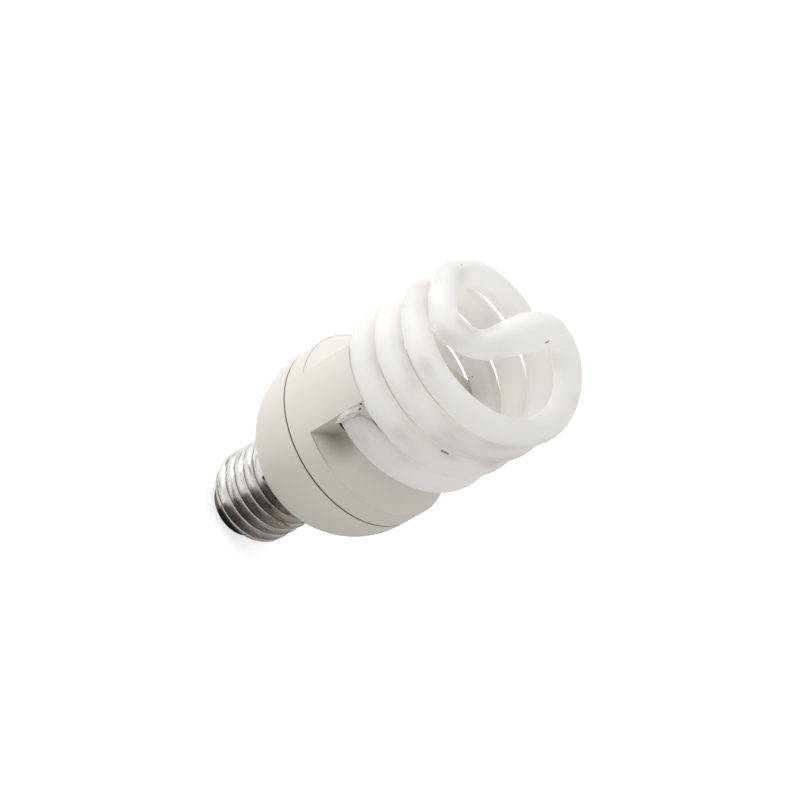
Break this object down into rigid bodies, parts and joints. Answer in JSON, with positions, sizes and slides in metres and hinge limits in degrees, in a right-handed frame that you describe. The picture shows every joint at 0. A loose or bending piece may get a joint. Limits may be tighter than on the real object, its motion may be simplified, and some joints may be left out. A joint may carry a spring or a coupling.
{
  "type": "spiral compact fluorescent bulb",
  "caption": "Compact fluorescent lamp with a double-helix glass tube closed by an S-bend, a two-piece plastic ballast housing and a screw cap.",
  "frame": {"origin": "on the lamp's axis, on the face of the centre contact", "axes": "+Z along the lamp's axis from the cap to the head; the front notch that takes in one tube end is near -Y"},
  "size_m": [0.0516, 0.0516, 0.1165],
  "materials": {
    "coated_glass": "gloss white, phosphor coated on the inside",
    "cream_plastic": "fine matte moulding",
    "nickel_cap": "bright nickel plate, lightly scuffed",
    "black_glass": "black vitreous glass",
    "solder": "tinned brass",
    "cement": "white silicone",
    "board": "phenolic board",
    "can_sleeve": "shrink sleeve",
    "ferrite": "sintered ferrite",
    "bobbin_plastic": "moulded bobbin",
    "copper_wire": "enamelled copper wire",
    "epoxy_black": "moulded epoxy",
    "film_red": "dipped film capacitor",
    "resistor_body": "lacquered resistor",
    "thermistor_body": "lacquered disc",
    "tinned_wire": "tinned copper",
    "wire_sleeve": "insulated wire"
  },
  "bodies": {
    "root": {"spiral_tube": "coated_glass", "upper_housing": "cream_plastic", "lower_housing": "cream_plastic", "screw_shell": "nickel_cap", "cap_insulator": "black_glass", "centre_contact": "solder", "tube_cement": "cement", "circuit_board": "board", "bulk_capacitor": "can_sleeve", "choke_core": "ferrite", "choke_bobbin": "bobbin_plastic", "choke_winding": "copper_wire", "drive_toroid": "ferrite", "toroid_winding": "copper_wire", "transistor_upper": "epoxy_black", "transistor_lower": "epoxy_black", "resonance_capacitor": "film_red", "blocking_capacitor": "film_red", "filter_choke_core": "ferrite", "filter_choke_winding": "copper_wire", "rectifier_diodes": "epoxy_black", "resistors": "resistor_body", "diac": "epoxy_black", "ptc_thermistor": "thermistor_body", "fuse_resistor": "resistor_body", "wrap_pins": "tinned_wire", "filament_leads": "tinned_wire", "live_lead": "wire_sleeve", "neutral_lead": "wire_sleeve"}
  },
  "joints": []
}
